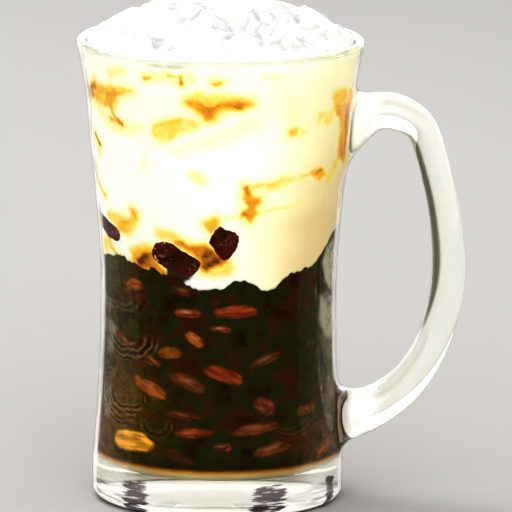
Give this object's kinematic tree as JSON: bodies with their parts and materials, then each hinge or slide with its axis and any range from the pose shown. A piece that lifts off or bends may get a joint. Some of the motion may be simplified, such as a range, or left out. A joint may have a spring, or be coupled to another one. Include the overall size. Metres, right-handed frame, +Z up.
{
  "type": "mug of black bean sweet soup",
  "caption": "Tall waisted clear glass mug with a side handle, filled with dark bean sweet soup under a heap of crushed coconut ice, with dark beans at the glass.",
  "frame": {"origin": "centre of the mug's flat foot, on the mug's axis", "axes": "+Z up along the mug's axis, +X towards the handle, -Y towards the side shown in the picture"},
  "size_m": [0.1162, 0.0856, 0.1512],
  "materials": {
    "mug": "clear, polished",
    "bean_soup": "wet, dark brown liquid with brown beans",
    "coconut_ice": "crushed ice soaked with coconut milk, granular",
    "bean_in_ice": "wet bean skin"
  },
  "bodies": {
    "root": {"mug": "mug", "bean_soup": "bean_soup", "coconut_ice": "coconut_ice", "bean_in_ice_front": "bean_in_ice", "bean_in_ice_middle": "bean_in_ice", "bean_in_ice_left": "bean_in_ice", "bean_in_ice_right": "bean_in_ice", "bean_in_ice_back": "bean_in_ice", "bean_in_ice_behind_left": "bean_in_ice"}
  },
  "joints": []
}
